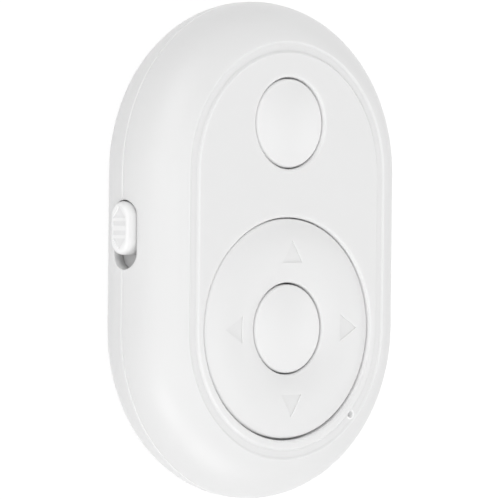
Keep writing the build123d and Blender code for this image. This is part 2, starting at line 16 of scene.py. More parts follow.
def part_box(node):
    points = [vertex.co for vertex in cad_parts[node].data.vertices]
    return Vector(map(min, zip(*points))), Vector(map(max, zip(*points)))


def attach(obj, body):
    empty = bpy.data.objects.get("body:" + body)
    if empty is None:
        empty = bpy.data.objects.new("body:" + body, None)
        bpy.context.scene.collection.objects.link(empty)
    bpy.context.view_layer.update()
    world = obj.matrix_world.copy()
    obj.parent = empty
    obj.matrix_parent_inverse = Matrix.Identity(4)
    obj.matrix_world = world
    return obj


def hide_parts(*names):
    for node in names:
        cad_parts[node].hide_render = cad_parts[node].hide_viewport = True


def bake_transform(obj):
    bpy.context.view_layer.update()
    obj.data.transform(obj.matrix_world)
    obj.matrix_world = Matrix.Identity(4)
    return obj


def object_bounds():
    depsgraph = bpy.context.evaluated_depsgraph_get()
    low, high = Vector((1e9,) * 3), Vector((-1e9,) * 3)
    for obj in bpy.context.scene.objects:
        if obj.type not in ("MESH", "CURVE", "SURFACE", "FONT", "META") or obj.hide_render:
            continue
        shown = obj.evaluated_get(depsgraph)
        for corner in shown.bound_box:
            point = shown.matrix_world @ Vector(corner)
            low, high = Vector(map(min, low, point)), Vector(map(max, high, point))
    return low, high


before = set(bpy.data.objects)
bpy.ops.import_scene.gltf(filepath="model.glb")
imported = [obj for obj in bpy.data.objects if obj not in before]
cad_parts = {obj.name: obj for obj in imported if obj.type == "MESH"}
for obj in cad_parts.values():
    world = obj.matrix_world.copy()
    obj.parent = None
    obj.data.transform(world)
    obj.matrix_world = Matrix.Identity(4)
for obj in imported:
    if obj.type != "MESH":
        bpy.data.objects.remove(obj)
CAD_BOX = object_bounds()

bl_info = {
    "name": "Pocket camera remote",
    "version": (1, 0, 0),
    "blender": (4, 5, 0),
    "location": "3D View > Sidebar > Remote",
    "description": "Finishes, small modelled pieces and a studio for a pocket camera remote",
    "category": "Object",
}

MM = 0.001
RING_SWITCHES = ("ring_right", "ring_up", "ring_left", "ring_down")
ALL_SWITCHES = ("shutter", "centre", *RING_SWITCHES)

SAME_FOR_ALL_COLOURS = (1.0, 1.0, 1.0)
PLASTIC_SCATTER = 0.45 * MM
RUBBER_SCATTER = 0.8 * MM
RESIN_SCATTER = 0.4 * MM
# Near white of the painted light on the case's seam and in its openings.
PAINTED_LIGHT_WHITE = (0.97, 0.97, 0.97)
SWITCH_COVER_HEIGHT = 0.4 * MM

# Each lamp's setting, its direction from the remote and its width in metres.
LAMPS = (
    ("left_lamp", (-0.55, -0.65, 0.35), 0.3),
    ("low_left_lamp", (-0.9, 0.0, 0.35), 0.45),
    ("upper_left_lamp", (-0.49, 0.62, 0.62), 0.35),
    ("front_lamp", (0.0, -0.9, 0.35), 0.3),
    ("right_lamp", (0.85, 0.0, 0.45), 0.3),
    ("camera_lamp", (-0.67, 0.0, 0.74), 0.6),
    ("overhead_lamp", (-0.05, -0.1, 1.0), 0.55),
)


class Shade:
    """A socket of a material's node tree, with the arithmetic that a finish is written in."""

    def __init__(self, finish, socket):
        self.finish = finish
        self.socket = socket

    def calculate(self, operation, first, second=0.0):
        """Adds the Math node for one operation on one or two values."""
        return self.finish.node("ShaderNodeMath", {"operation": operation}, {0: first, 1: second})

    def __add__(self, other):
        return self.calculate("ADD", self, other)

    def __radd__(self, other):
        return self.calculate("ADD", other, self)

    def __sub__(self, other):
        return self.calculate("SUBTRACT", self, other)

    def __rsub__(self, other):
        return self.calculate("SUBTRACT", other, self)

    def __mul__(self, other):
        return self.calculate("MULTIPLY", self, other)

    def __rmul__(self, other):
        return self.calculate("MULTIPLY", other, self)

    def __pow__(self, other):
        return self.calculate("POWER", self, other)

    def larger(self, other):
        """The larger of two values."""
        return self.calculate("MAXIMUM", self, other)

    def smaller(self, other):
        """The smaller of two values."""
        return self.calculate("MINIMUM", self, other)

    def size(self):
        """The value without its sign."""
        return self.calculate("ABSOLUTE", self)

    def band(self, low, high):
        """0 below low, 1 above high and a smooth rise between them."""
        sockets = {"Value": self, "From Min": low, "From Max": high}
        return self.finish.node("ShaderNodeMapRange", {"interpolation_type": "SMOOTHSTEP"}, sockets)


class Finish:
    """The node tree of one material or world under construction."""

    def __init__(self, owner):
        self.owner = owner
        owner.use_nodes = True
        self.tree = owner.node_tree
        self.tree.nodes.clear()

    def node(self, kind, settings=None, sockets=None, output=0):
        """Adds a node: its settings first, then the values or links of its sockets."""
        made = self.tree.nodes.new(kind)
        for name, value in (settings or {}).items():
            setattr(made, name, value)
        for name, value in (sockets or {}).items():
            target = made.inputs[name]
            if isinstance(value, Shade):
                self.tree.links.new(value.socket, target)
            elif target.type == "RGBA":
                target.default_value = (*value, 1.0)
            else:
                target.default_value = value
        return Shade(self, made.outputs[output]) if made.outputs else made

    def place(self, centre=(0.0, 0.0, 0.0), stretch=(1.0, 1.0, 1.0)):
        """Object coordinates about a centre, stretched along each axis."""
        coordinates = self.node("ShaderNodeTexCoord", output="Object")
        moved = self.node(
            "ShaderNodeVectorMath", {"operation": "SUBTRACT"}, {0: coordinates, 1: centre}
        )
        return self.node(
            "ShaderNodeVectorMath", {"operation": "MULTIPLY"}, {0: moved, 1: stretch}
        )

    def axis(self, place, name):
        """One coordinate of a place."""
        return self.node("ShaderNodeSeparateXYZ", None, {0: place}, output=name)

    def noise(self, place, scale, detail=2.0, roughness=0.5):
        """Soft noise from 0 to 1, with its scale in cells per metre."""
        sockets = {"Vector": place, "Scale": scale, "Detail": detail, "Roughness": roughness}
        return self.node("ShaderNodeTexNoise", None, sockets, output="Fac")

    def blend(self, factor, low, high):
        """A colour between two others."""
        return self.node("ShaderNodeMix", {"data_type": "RGBA"}, {0: factor, 6: low, 7: high}, 2)

    def bump(self, height, depth):
        """A normal bent by a height from 0 to 1 that stands for a depth in metres."""
        return self.node("ShaderNodeBump", None, {"Height": height, "Distance": depth})

    def seen(self):
        """1 for the rays that show the background to the camera, directly or in a reflection."""
        camera = self.node("ShaderNodeLightPath", output="Is Camera Ray")
        glossy = self.node("ShaderNodeLightPath", output="Is Glossy Ray")
        through = self.node("ShaderNodeLightPath", output="Is Transmission Ray")
        return camera.larger(glossy).larger(through)

    def surface(self, sockets):
        """Ends the material in a Principled shader with these sockets."""
        shader = self.node("ShaderNodeBsdfPrincipled", None, sockets)
        self.node("ShaderNodeOutputMaterial", None, {"Surface": shader})
        return self.owner


def tinted(colour, factor):
    """A colour made lighter or darker by a factor."""
    return tuple(channel * factor for channel in colour)


def moulded_plastic(
    name, colour, roughness, grain_mm, depth_mm, glow=0.0, marks=None, dust_and_shade=None, painted_light=None
):
    """Moulded plastic: a fine spark-eroded grain over a faint waviness, with light inside it.

    The marks and the painted shade are functions that get the finish and return how much they darken
    the plastic, as painted shade in pressed marks, on a knob's sides and deep in a slot: at 1, marks
    take a seventh of its colour and the slot's painted shade takes a third. The painted light is one
    that returns 1 where the plastic is painted nearly pure white, as a painted highlight on the seam
    and as painted light in the openings.
    """
    finish = Finish(bpy.data.materials.new(name))
    place = finish.place()
    slow = finish.noise(place, 1 / (9 * MM), 2.0)
    grain = finish.noise(place, 1 / (grain_mm * MM), 3.0, 0.6)
    cloud = finish.noise(place, 1 / (2.5 * MM), 2.0)
    base = finish.blend(slow, tinted(colour, 0.992), tinted(colour, 1.008))
    # Painted light: nearly pure white on the seam and the opening walls.
    if painted_light:
        base = finish.blend(painted_light(finish), base, PAINTED_LIGHT_WHITE)
    # Painted shade in pressed marks and on the knob's sides.
    if marks:
        base = finish.blend(marks(finish), base, tinted(colour, 0.86))
    # Painted shade deep in the switch slot.
    if dust_and_shade:
        base = finish.blend(dust_and_shade(finish), base, tinted(colour, 0.67))
    sockets = {
        "Base Color": base,
        "Roughness": roughness + 0.06 * (cloud - 0.5) + 0.05 * (grain - 0.5),
        "IOR": 1.5,
        "Subsurface Weight": glow,
        "Subsurface Radius": SAME_FOR_ALL_COLOURS,
        "Subsurface Scale": PLASTIC_SCATTER,
        "Normal": finish.bump(grain + 0.5 * cloud, depth_mm * MM),
    }
    return finish.surface(sockets)


def soft_silicone(name, colour):
    """Milky silicone rubber: matt, slightly cloudy and faintly dusty."""
    finish = Finish(bpy.data.materials.new(name))
    place = finish.place()
    cloud = finish.noise(place, 1 / (3 * MM), 3.0)
    dust_and_shade = finish.noise(place, 1 / (0.25 * MM), 2.0).band(0.62, 0.75)
    sockets = {
        "Base Color": finish.blend(cloud, tinted(colour, 0.95), tinted(colour, 1.04)),
        "Roughness": 0.55 + 0.2 * dust_and_shade,
        "IOR": 1.41,
        "Subsurface Weight": 0.3,
        "Subsurface Radius": SAME_FOR_ALL_COLOURS,
        "Subsurface Scale": RUBBER_SCATTER,
        "Normal": finish.bump(cloud + 0.3 * dust_and_shade, 0.008 * MM),
    }
    return finish.surface(sockets)


def metal(name, colour, roughness, marks, depth_mm, stamp=None):
    """Bare metal whose tone, shine and surface follow its working marks, a value from 0 to 1.

    The marks are a function that gets the finish and returns them. The stamp is one that returns
    1 where a tool has left the metal duller and rougher, and where its tone is darkened as painted
    shade.
    """
    finish = Finish(bpy.data.materials.new(name))
    worked = marks(finish)
    stain = finish.noise(finish.place(), 1 / (2 * MM), 3.0)
    base = finish.blend(0.5 * worked + 0.5 * stain, tinted(colour, 0.9), tinted(colour, 1.06))
    shine = roughness + 0.12 * (worked - 0.5) + 0.1 * (stain - 0.5)
    if stamp:
        # The stamp's darker tone is painted shade; its extra roughness is a duller finish.
        dull_and_shade = stamp(finish)
        base = finish.blend(dull_and_shade, base, tinted(colour, 0.55))
        shine = shine + 0.2 * dull_and_shade
    sockets = {
        "Base Color": base,
        "Metallic": 1.0,
        "Roughness": shine,
        "Normal": finish.bump(worked, depth_mm * MM),
    }
    return finish.surface(sockets)


def turned_marks(centre, pitch_mm):
    """Fine rings about an upright axis, with a pitch in millimetres."""
    def marks(finish):
        place = finish.place(centre)
        x = finish.axis(place, "X")
        y = finish.axis(place, "Y")
        reach = (x * x + y * y) ** 0.5
        rings = finish.node("ShaderNodeCombineXYZ", None, {"X": reach})
        return finish.noise(rings, 1 / (pitch_mm * MM), 2.0)
    return marks


def drawn_marks(stretch, pitch_mm):
    """Fine streaks, noise drawn out along the axes whose stretch is small."""
    def marks(finish):
        return finish.noise(finish.place(stretch=stretch), 1 / (pitch_mm * MM), 3.0, 0.6)
    return marks


def cell_stamp(finish):
    """1 in the plus sign and the ring stamped into the coin cell's lower face, where the can is
    duller and darkened with painted shade.
    """
    can = bpy.context.scene.remote_can
    place = finish.place(middle("coin_cell_can"))
    x = finish.axis(place, "X")
    y = finish.axis(place, "Y")
    thin = x.size().smaller(y.size())
    far = x.size().larger(y.size())
    plus = (can.plus_half_width - thin).band(-can.softness, 0.0)
    plus = plus * (can.plus_reach - far).band(-can.softness, 0.0)
    off_ring = ((x * x + y * y) ** 0.5 - can.ring_radius).size()
    return plus.larger((can.ring_half_width - off_ring).band(-can.softness, 0.0))


def solder_mask(name, colour):
    """Green mask over a board, with copper tracks and vias showing faintly under it."""
    finish = Finish(bpy.data.materials.new(name))
    tracks = None
    for wide, high, line in ((3.1, 1.3, 0.12), (1.7, 4.3, 0.1)):
        sockets = {
            "Vector": finish.place(), "Scale": 1 / MM, "Mortar Size": line, "Mortar Smooth": 0.2,
            "Brick Width": wide, "Row Height": high,
        }
        lines = finish.node("ShaderNodeTexBrick", {"offset": 0.37}, sockets, output="Fac")
        tracks = lines if tracks is None else tracks.larger(lines)
    via = finish.node(
        "ShaderNodeTexVoronoi", {"voronoi_dimensions": "2D"},
        {"Vector": finish.place(), "Scale": 1 / (2.6 * MM), "Randomness": 0.8}, output="Distance",
    )
    ring = 1.0 - via.band(0.11, 0.14)
    copper = tracks.larger(ring)
    cloud = finish.noise(finish.place(), 1 / (5 * MM), 2.0)
    under = finish.blend(cloud, tinted(colour, 0.9), tinted(colour, 1.1))
    sockets = {
        "Base Color": finish.blend(copper, under, (0.11, 0.42, 0.2)),
        "Roughness": 0.28 + 0.1 * cloud,
        "Coat Weight": 0.3,
        "Normal": finish.bump(copper, 0.02 * MM),
    }
    return finish.surface(sockets)


def covered_switch(name, cover_from):
    """A push switch: black moulding with a steel cover above the height cover_from."""
    finish = Finish(bpy.data.materials.new(name))
    place = finish.place()
    steel = finish.axis(place, "Z").band(cover_from, cover_from + 0.02 * MM)
    grain = finish.noise(place, 1 / (0.12 * MM), 3.0)
    streaks = finish.noise(finish.place(stretch=(1.0, 0.08, 1.0)), 1 / (0.15 * MM), 2.0)
    black = finish.blend(grain, (0.025, 0.025, 0.027), (0.05, 0.05, 0.052))
    bare = finish.blend(streaks, (0.58, 0.58, 0.57), (0.72, 0.72, 0.7))
    sockets = {
        "Base Color": finish.blend(steel, black, bare),
        "Metallic": steel,
        "Roughness": 0.5 - 0.2 * steel + 0.08 * (streaks - 0.5),
        "Normal": finish.bump(grain + streaks, 0.003 * MM),
    }
    return finish.surface(sockets)


def fired_ceramic(name):
    """Small soldered parts: tan and grey ceramic that differs from part to part."""
    finish = Finish(bpy.data.materials.new(name))
    place = finish.place()
    part = finish.noise(place, 1 / (4 * MM), 0.0).band(0.42, 0.58)
    speck = finish.noise(place, 1 / (0.08 * MM), 3.0)
    body = finish.blend(part, (0.42, 0.33, 0.22), (0.16, 0.16, 0.17))
    sockets = {
        "Base Color": finish.blend(0.35 * speck, body, (0.6, 0.55, 0.48)),
        "Roughness": 0.42 + 0.2 * speck,
        "Normal": finish.bump(speck, 0.006 * MM),
    }
    return finish.surface(sockets)


def clear_resin(name, colour, roughness):
    """Cast resin that lets some light through, with a cloudy inside."""
    finish = Finish(bpy.data.materials.new(name))
    cloud = finish.noise(finish.place(), 1 / (0.5 * MM), 3.0)
    sockets = {
        "Base Color": finish.blend(cloud, tinted(colour, 0.9), tinted(colour, 1.05)),
        "Roughness": roughness + 0.15 * cloud,
        "IOR": 1.52,
        "Coat Weight": 0.4,
        "Subsurface Weight": 0.4,
        "Subsurface Radius": SAME_FOR_ALL_COLOURS,
        "Subsurface Scale": RESIN_SCATTER,
        "Normal": finish.bump(cloud, 0.01 * MM),
    }
    return finish.surface(sockets)


def ring_painted_shade(finish):
    """Painted shade in the four triangles pressed into the ring, written for one and folded round."""
    marks = bpy.context.scene.remote_marks
    centre = middle("direction_ring")
    place = finish.place((centre.x, centre.y, 0.0))
    x = finish.axis(place, "X").size()
    y = finish.axis(place, "Y").size()
    out = x.larger(y) - marks.base_radius
    aside = x.smaller(y)
    room = marks.half_base - out * (marks.half_base / marks.height) - aside
    return 0.18 * out.band(0.0, marks.softness) * room.band(0.0, marks.softness)


def knob_painted_shade(finish):
    """Painted shade in the two bars pressed into the knob, and on its sides below the face."""
    marks = bpy.context.scene.remote_marks
    centre = middle("power_knob")
    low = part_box("power_knob")[0]
    place = finish.place((low.x, centre.y, centre.z))
    y = finish.axis(place, "Y").size()
    z = finish.axis(place, "Z").size()
    off_bar = (y - marks.bar_spacing / 2).size()
    across = (marks.bar_width / 2 - off_bar).band(-marks.softness, marks.softness)
    along = (marks.bar_length / 2 - z).band(-marks.softness, marks.softness)
    sides = finish.axis(place, "X").band(marks.face_depth, marks.side_depth)
    return (0.25 * across * along).larger(sides)


def slot_painted_shade(finish):
    """1 deep in the power switch's slot, for the painted shade that greys its walls and the plate."""
    slot = bpy.context.scene.remote_slot
    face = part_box("power_knob")[0].x
    centre = middle("power_knob")
    place = finish.place((face, centre.y - slot.knob_offset, centre.z))
    depth = finish.axis(place, "X")
    deep = depth.band(slot.shade_start, slot.shade_full) * (slot.shade_end - depth).band(0.0, MM)
    along = (slot.half_length - finish.axis(place, "Y").size()).band(-slot.softness, 0.0)
    up = (slot.half_height - finish.axis(place, "Z").size()).band(-slot.softness, 0.0)
    return deep * along * up


def opening_and_seam_light(finish):
    """Painted light: 1 on the walls of the round openings, below the case's face, where it lifts
    their shade, and along the case's seam as a painted highlight.
    """
    openings = bpy.context.scene.remote_openings
    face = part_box("front_shell")[1].z - openings.edge
    above_seam = finish.axis(finish.place((0.0, 0.0, openings.seam_height)), "Z")
    seam = (openings.seam_half_width - above_seam.size()).band(0.0, openings.softness)
    walls = None
    rounds = {
        "direction_ring": openings.wall, "shutter_button": openings.wall,
        "indicator_light_pipe": openings.hole_wall,
    }
    for node, wall in rounds.items():
        low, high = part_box(node)
        place = finish.place(((low.x + high.x) / 2, (low.y + high.y) / 2, face))
        x = finish.axis(place, "X")
        y = finish.axis(place, "Y")
        reach = (high.x - low.x) / 2 + wall
        around = (reach - (x * x + y * y) ** 0.5).band(0.0, openings.softness)
        walls = around if walls is None else walls.larger(around)
    depth = 0.0 - finish.axis(place, "Z")
    return seam.larger(walls * depth.band(0.0, openings.softness))


def dress(material, *nodes):
    """Gives CAD nodes one material in all their slots."""
    for node in nodes:
        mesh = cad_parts[node].data
        if not mesh.materials:
            mesh.materials.append(material)
        for index in range(len(mesh.materials)):
            mesh.materials[index] = material


def middle(node):
    """The middle of a CAD node's box."""
    low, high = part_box(node)
    return (low + high) / 2


def build_piece(name, points, closed_rows, material, slot, *replaced):
    """Makes a piece from rows of points, an array of rows by columns by 3 whose columns close.

    Doubles are merged, which closes poles and seams, and the faces are turned outwards. The
    caller says which body, if any, carries it.
    """
    rows, columns = points.shape[:2]
    index = np.arange(rows * columns).reshape(rows, columns)
    index = np.hstack([index, index[:, :1]])
    if closed_rows:
        index = np.vstack([index, index[:1]])
    faces = np.stack([index[:-1, :-1], index[:-1, 1:], index[1:, 1:], index[1:, :-1]], axis=-1)
    mesh = bpy.data.meshes.new(name)
    mesh.from_pydata(points.reshape(-1, 3).tolist(), [], faces.reshape(-1, 4).tolist())
    work = bmesh.new()
    work.from_mesh(mesh)
    bmesh.ops.remove_doubles(work, verts=work.verts, dist=0.0001 * MM)
    bmesh.ops.recalc_face_normals(work, faces=work.faces)
    work.to_mesh(mesh)
    work.free()
    mesh.shade_smooth()
    mesh.materials.append(material)
    piece = bpy.data.objects.new(name, mesh)
    bpy.context.scene.collection.objects.link(piece)
    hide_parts(*replaced)
    return piece


def smooth_step(value, low, high):
    """0 below low, 1 above high and a smooth rise between them, for whole arrays."""
    share = np.clip((value - low) / (high - low), 0.0, 1.0)
    return share * share * (3.0 - 2.0 * share)


class PlasticSettings(bpy.types.PropertyGroup):
    """Colours and grain of the white plastic."""

    case_colour: bpy.props.FloatVectorProperty(
        name="Case colour", description="Colour of the two shells and the door",
        subtype="COLOR", size=3, min=0.0, max=1.0, default=(0.8, 0.8, 0.8),
    )
    case_roughness: bpy.props.FloatProperty(
        name="Case roughness", description="Roughness of the two shells and the door",
        default=0.32, min=0.0, max=1.0,
    )
    button_colour: bpy.props.FloatVectorProperty(
        name="Button colour", description="Colour of the two round buttons",
        subtype="COLOR", size=3, min=0.0, max=1.0, default=(0.825, 0.825, 0.825),
    )
    ring_colour: bpy.props.FloatVectorProperty(
        name="Ring colour", description="Colour of the direction ring",
        subtype="COLOR", size=3, min=0.0, max=1.0, default=(0.806, 0.806, 0.806),
    )
    knob_colour: bpy.props.FloatVectorProperty(
        name="Knob colour", description="Colour of the power knob",
        subtype="COLOR", size=3, min=0.0, max=1.0, default=(0.935, 0.935, 0.935),
    )
    grain_mm: bpy.props.FloatProperty(
        name="Grain", description="Size of the mould's grain, in millimetres",
        default=0.22, min=0.05, max=1.0,
    )
    grain_depth_mm: bpy.props.FloatProperty(
        name="Grain depth", description="Depth of the mould's grain, in millimetres",
        default=0.003, min=0.0, max=0.1,
    )
    glow: bpy.props.FloatProperty(
        name="Glow", description="Share of the light that spreads inside the plastic",
        default=1.0, min=0.0, max=1.0,
    )


class MarkSettings(bpy.types.PropertyGroup):
    """Places of the marks pressed into the ring and the knob, and of the knob's sides, where painted
    shade darkens the plastic.
    """

    base_radius: bpy.props.FloatProperty(
        name="Base radius", description="From the ring's middle to a triangle's base",
        unit="LENGTH", default=8.175 * MM, min=0.0,
    )
    height: bpy.props.FloatProperty(
        name="Height", description="From a triangle's base to its point",
        unit="LENGTH", default=2.75 * MM, min=0.0,
    )
    half_base: bpy.props.FloatProperty(
        name="Half base", description="Half the width of a triangle's base",
        unit="LENGTH", default=1.65 * MM, min=0.0,
    )
    bar_spacing: bpy.props.FloatProperty(
        name="Bar spacing", description="Between the middles of the knob's two bars",
        unit="LENGTH", default=1.15 * MM, min=0.0,
    )
    bar_width: bpy.props.FloatProperty(
        name="Bar width", description="Width of a bar on the knob",
        unit="LENGTH", default=0.55 * MM, min=0.0,
    )
    bar_length: bpy.props.FloatProperty(
        name="Bar length", description="Length of a bar on the knob",
        unit="LENGTH", default=2.4 * MM, min=0.0,
    )
    face_depth: bpy.props.FloatProperty(
        name="Face depth", description="Depth below the knob's face where its sides begin",
        unit="LENGTH", default=0.0, min=0.0,
    )
    side_depth: bpy.props.FloatProperty(
        name="Side depth", description="Depth below the knob's face where its sides are greyest",
        unit="LENGTH", default=0.31 * MM, min=0.0,
    )
    softness: bpy.props.FloatProperty(
        name="Softness", description="Width of the soft edge of every mark",
        unit="LENGTH", default=0.06 * MM, min=0.0,
    )


class SlotSettings(bpy.types.PropertyGroup):
    """The painted shade inside the power switch's slot."""

    knob_offset: bpy.props.FloatProperty(
        name="Knob offset", description="From the slot's middle to the knob's, at rest",
        unit="LENGTH", default=0.8 * MM,
    )
    half_length: bpy.props.FloatProperty(
        name="Half length", description="Half the slot's length",
        unit="LENGTH", default=4.25 * MM, min=0.0,
    )
    half_height: bpy.props.FloatProperty(
        name="Half height", description="Half the slot's height",
        unit="LENGTH", default=2.0 * MM, min=0.0,
    )
    # Depths below the knob's face that bound the painted shade in the slot.
    shade_start: bpy.props.FloatProperty(
        name="Shade start", description="Depth below the knob's face where the dust begins",
        unit="LENGTH", default=1.25 * MM, min=0.0,
    )
    shade_full: bpy.props.FloatProperty(
        name="Shade full", description="Depth below the knob's face where the dust is thickest",
        unit="LENGTH", default=2.0 * MM, min=0.0,
    )
    shade_end: bpy.props.FloatProperty(
        name="Shade end", description="Depth below the knob's face where the dust ends",
        unit="LENGTH", default=6.0 * MM, min=0.0,
    )
    softness: bpy.props.FloatProperty(
        name="Softness", description="Width of the soft edge round the slot",
        unit="LENGTH", default=0.12 * MM, min=0.0,
    )


class OpeningSettings(bpy.types.PropertyGroup):
    """The painted light along the case's seam and in the openings for the ring, the button and the
    light pipe.
    """

    wall: bpy.props.FloatProperty(
        name="Wall", description="Past the ring's or the button's side, to the end of the white",
        unit="LENGTH", default=0.5 * MM, min=0.0,
    )
    hole_wall: bpy.props.FloatProperty(
        name="Hole wall", description="Past the light pipe's side, to the end of the white",
        unit="LENGTH", default=0.1 * MM, min=0.0,
    )
    edge: bpy.props.FloatProperty(
        name="Edge", description="Depth below the case's face where the white begins",
        unit="LENGTH", default=0.2 * MM, min=0.0,
    )
    seam_height: bpy.props.FloatProperty(
        name="Seam height", description="Height of the seam between the shells",
        unit="LENGTH", default=6.45 * MM, min=0.0,
    )
    seam_half_width: bpy.props.FloatProperty(
        name="Seam half width", description="Half the width of the white along the seam",
        unit="LENGTH", default=0.17 * MM, min=0.0,
    )
    softness: bpy.props.FloatProperty(
        name="Softness", description="Width of the soft edge of the white",
        unit="LENGTH", default=0.1 * MM, min=0.0,
    )


class PadSettings(bpy.types.PropertyGroup):
    """Shape of the silicone pad under the ring."""

    hole_radius: bpy.props.FloatProperty(
        name="Hole radius", description="Radius of the hole round the centre button",
        unit="LENGTH", default=7.0 * MM, min=0.0,
    )
    pip_radius: bpy.props.FloatProperty(
        name="Pip radius", description="Radius of the domes that rest on the switches",
        unit="LENGTH", default=1.6 * MM, min=0.0,
    )
    pip_height: bpy.props.FloatProperty(
        name="Pip height", description="How far the domes stand below the sheet",
        unit="LENGTH", default=0.25 * MM, min=0.0,
    )
    side_power: bpy.props.FloatProperty(
        name="Side power", description="How square the section's sides are, 1 for an ellipse",
        default=0.45, min=0.1, max=1.0,
    )
    face_power: bpy.props.FloatProperty(
        name="Face power", description="How flat the section's faces are, 1 for an ellipse",
        default=0.3, min=0.1, max=1.0,
    )
    thinning: bpy.props.FloatProperty(
        name="Thinning", description="How much thinner the sheet is between the switches",
        unit="LENGTH", default=0.12 * MM, min=0.0,
    )
    steps_around: bpy.props.IntProperty(
        name="Steps around", description="Points round the pad", default=288, min=16,
    )
    steps_across: bpy.props.IntProperty(
        name="Steps across", description="Points round the pad's section", default=72, min=16,
    )


class CanSettings(bpy.types.PropertyGroup):
    """Shape of the coin cell's steel can."""

    corner: bpy.props.FloatProperty(
        name="Corner", description="Radius of the can's lower edge",
        unit="LENGTH", default=0.5 * MM, min=0.0,
    )
    cap_recess_radius: bpy.props.FloatProperty(
        name="Recess radius", description="Radius of the recess that holds the gasket and cap",
        unit="LENGTH", default=8.95 * MM, min=0.0,
    )
    recess_depth: bpy.props.FloatProperty(
        name="Recess depth", description="Depth of that recess below the can's rim",
        unit="LENGTH", default=0.35 * MM, min=0.0,
    )
    stamp_depth: bpy.props.FloatProperty(
        name="Stamp depth", description="Depth of the plus sign and the ring in the face",
        unit="LENGTH", default=0.2 * MM, min=0.0,
    )
    plus_reach: bpy.props.FloatProperty(
        name="Plus reach", description="From the plus sign's middle to the end of an arm",
        unit="LENGTH", default=2.2 * MM, min=0.0,
    )
    plus_half_width: bpy.props.FloatProperty(
        name="Plus half width", description="Half the width of the plus sign's arms",
        unit="LENGTH", default=0.35 * MM, min=0.0,
    )
    ring_radius: bpy.props.FloatProperty(
        name="Ring radius", description="Radius of the stamped ring",
        unit="LENGTH", default=7.6 * MM, min=0.0,
    )
    ring_half_width: bpy.props.FloatProperty(
        name="Ring half width", description="Half the width of the stamped ring",
        unit="LENGTH", default=0.1 * MM, min=0.0,
    )
    softness: bpy.props.FloatProperty(
        name="Softness", description="Width of the sloping edge of every stamped line",
        unit="LENGTH", default=0.12 * MM, min=0.0,
    )
    steps_around: bpy.props.IntProperty(
        name="Steps around", description="Points round the can", default=256, min=16,
    )


class StageSettings(bpy.types.PropertyGroup):
    """Camera, lamps and floor."""

    azimuth: bpy.props.FloatProperty(
        name="Azimuth", description="Direction the camera stands in, 0 in front and 90 at the right",
        subtype="ANGLE", default=math.radians(-91.23),
    )
    elevation: bpy.props.FloatProperty(
        name="Elevation", description="Height of the camera above the horizon",
        subtype="ANGLE", default=math.radians(48.16),
    )
    roll: bpy.props.FloatProperty(
        name="Roll", description="Turn of the camera about its own line of sight",
        subtype="ANGLE", default=math.radians(91.48),
    )
    distance: bpy.props.FloatProperty(
        name="Distance", description="From the camera to the point that it looks at",
        unit="LENGTH", default=0.4896, min=0.1,
    )
    aim_height: bpy.props.FloatProperty(
        name="Aim height", description="Height of the point that the camera looks at",
        unit="LENGTH", default=5.92 * MM,
    )
    lens: bpy.props.FloatProperty(
        name="Lens", description="Focal length, in millimetres, on a sensor 36 mm wide",
        unit="CAMERA", default=281.76, min=1.0,
    )
    sky: bpy.props.FloatProperty(
        name="Sky", description="Strength of the even light from all round",
        default=0.61, min=0.0,
    )
    left_lamp: bpy.props.FloatProperty(
        name="Left lamp", description="Power of the soft lamp at the lower left",
        unit="POWER", default=0.54, min=0.0,
    )
    low_left_lamp: bpy.props.FloatProperty(
        name="Low left lamp", description="Power of the soft lamp at the left",
        unit="POWER", default=0.11, min=0.0,
    )
    upper_left_lamp: bpy.props.FloatProperty(
        name="Upper left lamp", description="Power of the soft lamp at the upper left",
        unit="POWER", default=0.45, min=0.0,
    )
    front_lamp: bpy.props.FloatProperty(
        name="Front lamp", description="Power of the soft lamp at the lower end",
        unit="POWER", default=0.425, min=0.0,
    )
    right_lamp: bpy.props.FloatProperty(
        name="Right lamp", description="Power of the soft lamp at the right",
        unit="POWER", default=0.32, min=0.0,
    )
    camera_lamp: bpy.props.FloatProperty(
        name="Camera lamp", description="Power of the soft lamp beside the camera",
        unit="POWER", default=0.535, min=0.0,
    )
    overhead_lamp: bpy.props.FloatProperty(
        name="Overhead lamp", description="Power of the soft lamp overhead",
        unit="POWER", default=0.545, min=0.0,
    )
    lamp_distance: bpy.props.FloatProperty(
        name="Lamp distance", description="From the remote to every lamp",
        unit="LENGTH", default=0.6, min=0.1,
    )
    floor_reach: bpy.props.FloatProperty(
        name="Floor reach", description="Radius of the floor's round ends",
        unit="LENGTH", default=1.5, min=0.1,
    )
    floor_gap: bpy.props.FloatProperty(
        name="Floor gap", description="From the floor up to the remote's rear",
        unit="LENGTH", default=0.02 * MM, min=0.0,
    )
    floor_white: bpy.props.FloatProperty(
        name="Floor white", description="Light that the seen floor gives by itself",
        default=0.9, min=0.0, max=1.0,
    )
    floor_shade: bpy.props.FloatProperty(
        name="Floor shade", description="Grey of the seen floor, which shows the shadow",
        default=0.15, min=0.0, max=1.0,
    )
    window_inset: bpy.props.FloatProperty(
        name="Window inset", description="From the case's side to the opening under its flat rear",
        unit="LENGTH", default=7.5 * MM, min=0.0,
    )


class REMOTE_OT_finish_case(bpy.types.Operator):
    """Gives the shells and the door their white plastic"""

    bl_idname = "remote.finish_case"
    bl_label = "Finish the case"

    def execute(self, context):
        plastic = context.scene.remote_plastic
        # The case gets painted shade deep in the switch slot, and painted light on its seam and in
        # its round openings.
        material = moulded_plastic(
            "case_plastic", plastic.case_colour, plastic.case_roughness, plastic.grain_mm,
            plastic.grain_depth_mm, plastic.glow, dust_and_shade=slot_painted_shade, painted_light=opening_and_seam_light,
        )
        dress(material, "front_shell", "rear_shell", "battery_door")
        return {"FINISHED"}


